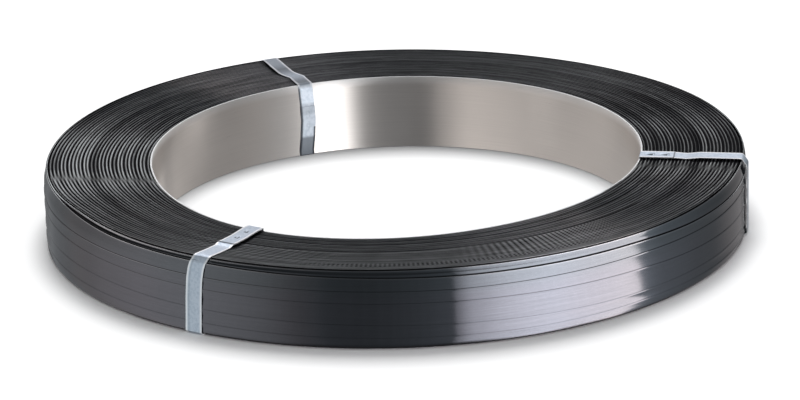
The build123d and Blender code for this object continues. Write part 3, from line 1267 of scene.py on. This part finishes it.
@dataclass
class Studio:
    """The pale floor, the soft lights and the camera."""

    distance: float = 3.3145
    elevation: float = 18.915
    pitch: float = 0.151
    yaw: float = 0.060
    roll: float = -1.643
    aim: Vector = Vector((0, 0, 0.030))
    lens: float = 180.0
    sensor: float = 36.0

    def camera(self) -> None:
        """Sets the camera where the photograph was taken from."""
        tilt = math.radians(self.elevation)
        place = self.aim + self.distance * Vector((0, -math.cos(tilt), math.sin(tilt)))
        look, swing = tilt + math.radians(self.pitch), math.radians(self.yaw)
        level = math.cos(look)
        forward = Vector((math.sin(swing) * level, math.cos(swing) * level, -math.sin(look)))
        right = forward.cross(Vector((0, 0, 1))).normalized()
        up = right.cross(forward)
        lean = math.radians(self.roll)
        even, tipped = math.cos(lean), math.sin(lean)
        right, up = even * right + tipped * up, even * up - tipped * right
        data = bpy.data.cameras.new("studio_camera")
        data.lens, data.sensor_width, data.sensor_fit = self.lens, self.sensor, "HORIZONTAL"
        data.clip_start, data.clip_end = 0.05, 60.0
        camera = bpy.data.objects.new("studio_camera", data)
        bpy.context.scene.collection.objects.link(camera)
        turn = Matrix((right, up, -forward)).transposed().to_4x4()
        camera.matrix_world = Matrix.Translation(place) @ turn
        bpy.context.scene.camera = camera

    def floor(self) -> None:
        """Lays the floor."""
        Bench.clear()
        bpy.ops.mesh.primitive_plane_add(size=40.0)
        floor = bpy.context.object
        floor.name = "studio_floor"
        floor.data.materials.append(FloorFinish().make())
        floor.visible_glossy = floor.visible_shadow = False

    def panel(
        self,
        name: str,
        heading: float,
        elevation: float,
        distance: float,
        size: Pair,
        radiance: float,
        colour: Colour = (1.0, 1.0, 1.0),
        receivers: bpy.types.Collection | None = None,
        diffuse: bool = False,
        glossy: bool = True,
    ) -> None:
        """Hangs one soft panel that faces the coil.

        Args:
            name: The light's name.
            heading: The way to it from the coil, in degrees from the X axis.
            elevation: How high it hangs, in degrees.
            distance: How far away it is.
            size: Its width and height.
            radiance: How bright its face is.
            colour: The colour of its light.
            receivers: The pieces it lights, or all of them.
            diffuse: Whether it lights the floor too.
            glossy: Whether the metal mirrors it.
        """
        data = bpy.data.lights.new(name, "AREA")
        data.shape, data.size, data.size_y = "RECTANGLE", *size
        data.energy = radiance * math.pi * size[0] * size[1]
        data.color = colour
        light = bpy.data.objects.new(name, data)
        bpy.context.scene.collection.objects.link(light)
        way, rise = math.radians(heading), math.radians(elevation)
        level = math.cos(rise)
        place = Vector((math.cos(way) * level, math.sin(way) * level, math.sin(rise))) * distance
        light.location = place
        light.rotation_euler = (-place).to_track_quat("-Z", "Y").to_euler()
        light.visible_camera = False
        light.visible_diffuse, light.visible_glossy = diffuse, glossy
        if receivers is not None:
            light.light_linking.receiver_collection = receivers

    def ring_of_panels(self, name: str, receivers: bpy.types.Collection, spans: Sequence[Span]) -> None:
        """Hangs tall soft panels side by side round the coil, low enough for its steel to mirror them.

        Args:
            name: The start of the lights' names.
            receivers: The pieces they light.
            spans: For each panel its first and last heading in degrees, how bright it is and its colour.
        """
        elevation, distance, height = -5.0, 9.0, 12.5
        reach = 2 * distance * math.cos(math.radians(elevation))
        for start, end, radiance, colour in self.blended(spans):
            size = (reach * math.tan(math.radians((end - start) / 2)), height)
            heading = (start + end) / 2
            panel_name = f"{name}_panel_{heading:.1f}"
            self.panel(panel_name, heading, elevation, distance, size, radiance, colour, receivers)

    @staticmethod
    def blended(spans: Sequence[Span], likeness: float = 3.2, steps: int = 4) -> list[Span]:
        """Splits each span in steps that lead over to its neighbours, so that no join shows.

        Args:
            spans: For each panel its first and last heading in degrees, how bright it is and its colour.
            likeness: How many times brighter a neighbour may be before the join stays sharp.
            steps: How many steps each span becomes.

        Returns:
            The steps in the same form as the spans.
        """
        split = []
        for number, (start, end, radiance, colour) in enumerate(spans):
            own = np.array((radiance, *colour))
            sides = []
            for neighbour in (number - 1, number + 1):
                other = own
                if 0 <= neighbour < len(spans):
                    first, last, strength, tint = spans[neighbour]
                    touching = min(abs(first - end), abs(last - start)) < 2.0
                    if touching and 1 / likeness < strength / radiance < likeness:
                        other = np.array((strength, *tint))
                sides.append(other)
            width = (end - start) / steps
            for step in range(steps):
                share = (step + 0.5) / steps - 0.5
                mixed = own + (sides[0 if share < 0 else 1] - own) * abs(share)
                tint = (float(mixed[1]), float(mixed[2]), float(mixed[3]))
                split.append((start + step * width, start + (step + 1) * width, float(mixed[0]), tint))
        return split

    def world(self, colour: Colour, strength: float) -> None:
        """Fills the room with an even dim light."""
        world = bpy.data.worlds.new("studio_room")
        world.use_nodes = True
        background = world.node_tree.nodes["Background"]
        background.inputs["Color"].default_value = (*colour, 1.0)
        background.inputs["Strength"].default_value = strength
        bpy.context.scene.world = world

    def lights(
        self, coil: bpy.types.Object, liner: bpy.types.Object, ties: Sequence[bpy.types.Object]
    ) -> None:
        """Hangs the lights: some for all, and some for the strap, the liner or the ties alone.

        Args:
            coil: The wound strap.
            liner: The liner of the bore.
            ties: The ties.
        """
        liner.visible_diffuse = False
        names = ("lit_strap", "lit_liner", "lit_ties")
        strap, sheet, zinc = (bpy.data.collections.new(name) for name in names)
        for group, pieces in ((strap, [coil]), (sheet, [liner]), (zinc, ties)):
            for piece in pieces:
                group.objects.link(piece)
        self.world((0.95, 0.97, 1.0), 0.17)
        self.panel("overhead_panel", 90, 70, 4.0, (1.5, 2.1), 10.4, diffuse=True, glossy=False)
        self.panel("ceiling_panel", 90, 88, 3.0, (3.6, 3.6), 1.65, diffuse=True, glossy=False)
        self.panel("back_strip", 90, 19, 9.0, (16.0, 1.7), 1.75, (0.98, 1.0, 1.0), strap)
        ash, pearl, lilac = (0.98, 0.94, 0.93), (1.0, 0.91, 0.91), (1.0, 0.955, 0.985)
        warm, sky = (1.0, 0.89, 0.86), (0.88, 0.94, 1.0)
        self.ring_of_panels("strap", strap, (
            (98, 112, 0.04, sky), (112, 136, 0.14, sky), (136, 148, 0.39, pearl), (148, 158, 0.60, pearl),
            (158, 172, 1.00, pearl), (172, 186, 1.36, pearl), (186, 206, 1.36, ash), (206, 220, 1.15, ash),
            (220, 232, 0.82, ash), (232, 243, 0.38, pearl), (243, 250, 0.17, sky), (250, 268, 0.11, sky),
            (268, 280, 0.22, sky), (280, 288, 0.40, sky), (288, 290.5, 1.7, lilac), (290.5, 294, 3.4, lilac),
            (294, 302, 4.8, lilac), (302, 314, 7.0, lilac), (314, 328, 8.4, lilac), (328, 344, 8.7, pearl),
            (344, 353.8, 9.2, warm), (353.8, 358, 1.4, sky), (358, 364, 0.90, sky), (364, 376, 0.60, sky),
            (376, 388, 0.32, sky), (388, 400, 0.17, sky), (400, 412, 0.23, pearl), (412, 424, 0.23, pearl),
            (424, 438, 0.07, pearl),
        ))
        cream, white = (1.0, 0.93, 0.88), (1.0, 0.99, 0.99)
        self.ring_of_panels("liner", sheet, (
            (108, 120, 0.36, cream), (120, 132, 0.30, cream), (132, 156, 0.37, cream),
            (156, 180, 0.47, cream), (180, 203, 0.39, cream), (203, 216, 0.58, cream),
            (216, 228, 0.66, cream), (228, 240, 0.74, cream), (240, 250, 0.34, cream),
            (262, 276, 0.05, white), (276, 286, 0.08, white), (286, 290, 0.4, white), (290, 294, 1.6, white),
            (294, 312, 3.2, white), (312, 324, 0.48, white), (324, 338, 0.30, white), (338, 362, 0.18, cream),
            (362, 396, 0.20, cream), (396, 408, 0.46, cream), (408, 420, 0.17, cream), (420, 432, 0.6, cream),
        ))
        steel = (0.86, 0.95, 1.0)
        self.ring_of_panels("tie", zinc, (
            (110, 150, 0.4, steel), (150, 200, 0.42, steel), (200, 250, 0.5, steel), (290, 312, 3.0, white),
            (312, 326, 0.5, white), (326, 366, 0.3, steel), (366, 430, 0.3, steel),
        ))
        self.panel("zinc_panel", 100, 60, 6.0, (8.0, 5.0), 1.15, (0.96, 0.97, 1.0), zinc)
        self.panel("zinc_back_panel", 92, 30, 9.0, (12.0, 7.0), 0.55, (0.98, 0.97, 1.0), zinc)
        self.panel("liner_panel", 100, 60, 6.0, (8.0, 5.0), 1.1, (0.95, 0.98, 1.0), sheet)
        self.panel("liner_back_panel", 92, 30, 9.0, (12.0, 7.0), 0.8, (0.97, 0.98, 1.0), sheet)
        self.panel("tie_front_panel", 250, 58, 6.0, (5.0, 5.0), 0.5, steel, zinc)
        scene = bpy.context.scene
        scene.view_settings.view_transform = "Standard"
        scene.view_settings.look = "None"


def coil_ties() -> list[WrapTie]:
    """The three ties, each with its own slack, sway and painted shade."""
    return [
        WrapTie(
            "right_tie", "tie_band_right", -9.0, LapPlace.END_FACE, 0.5, ((0.62, 0.6), (0.82, -0.1)), 0.25,
            marking=2.0,
            key_size=(8.0, 5.0),
            wall_face=291.0,
            wall_shade=0.7,
        ),
        WrapTie(
            "back_tie", "tie_band_back", 112.2, LapPlace.BORE, 0.4, ((0.25, 1.1), (0.72, 0.1)), 0.5,
            face_sway=(
                (203, 0.0), (216, -1.0), (227, -2.2), (233, 0.6), (240, 2.6), (264, 2.6), (276, 1.4),
                (286, 0.6),
            ),
            bore_sway=((0, 0.8), (16, -1.2), (32, -2.4), (48, -1.6), (62, -0.4)),
            bore_shade=((0, 1.0), (16, 0.9), (18, 0.3), (36, 0.32), (39, 0.5), (45, 0.42), (48, 0.0), (64, 0.0)),
            face_shade=(
                (203, 0.8), (208, 0.95), (214, 0.9), (222, 0.6), (232, 0.5), (242, 0.85), (250, 1.0),
                (258, 0.8), (270, 0.6), (286, 0.6),
            ),
            marking=0.12,
            width=13.4,
        ),
        WrapTie(
            "front_left_tie", "tie_band_front_left", 236.8, LapPlace.END_FACE, 0.1, ((0.85, 0.2),), 1.0,
            face_sway=((203, 0.0), (212, 1.6), (235, 6.8), (250, 8.6), (272, 9.2), (286, 8.4), (290, 6.6)),
            wall_sway=((0, -0.6), (30, 0.9), (45, 2.2), (54, 4.0), (60, 6.2), (64, 7.8)),
            lap_length=50.0,
            key_centre=25.0,
            key_spacing=18.0,
            marking=1.2,
        ),
    ]


def main() -> None:
    """Builds the coil, its liner and its ties in turn, then the studio round them."""
    logging.basicConfig(level=logging.INFO, format="%(name)s: %(message)s")
    coil, liner = StrapCoil().build(), InnerLiner().build()
    ties = [tie.build() for tie in coil_ties()]
    for piece in (coil, liner, *ties):
        LOG.info("%s: %d faces", piece.name, len(piece.data.polygons))
    studio = Studio()
    studio.floor()
    studio.camera()
    studio.lights(coil, liner, ties)


if __name__ == "__main__":
    main()
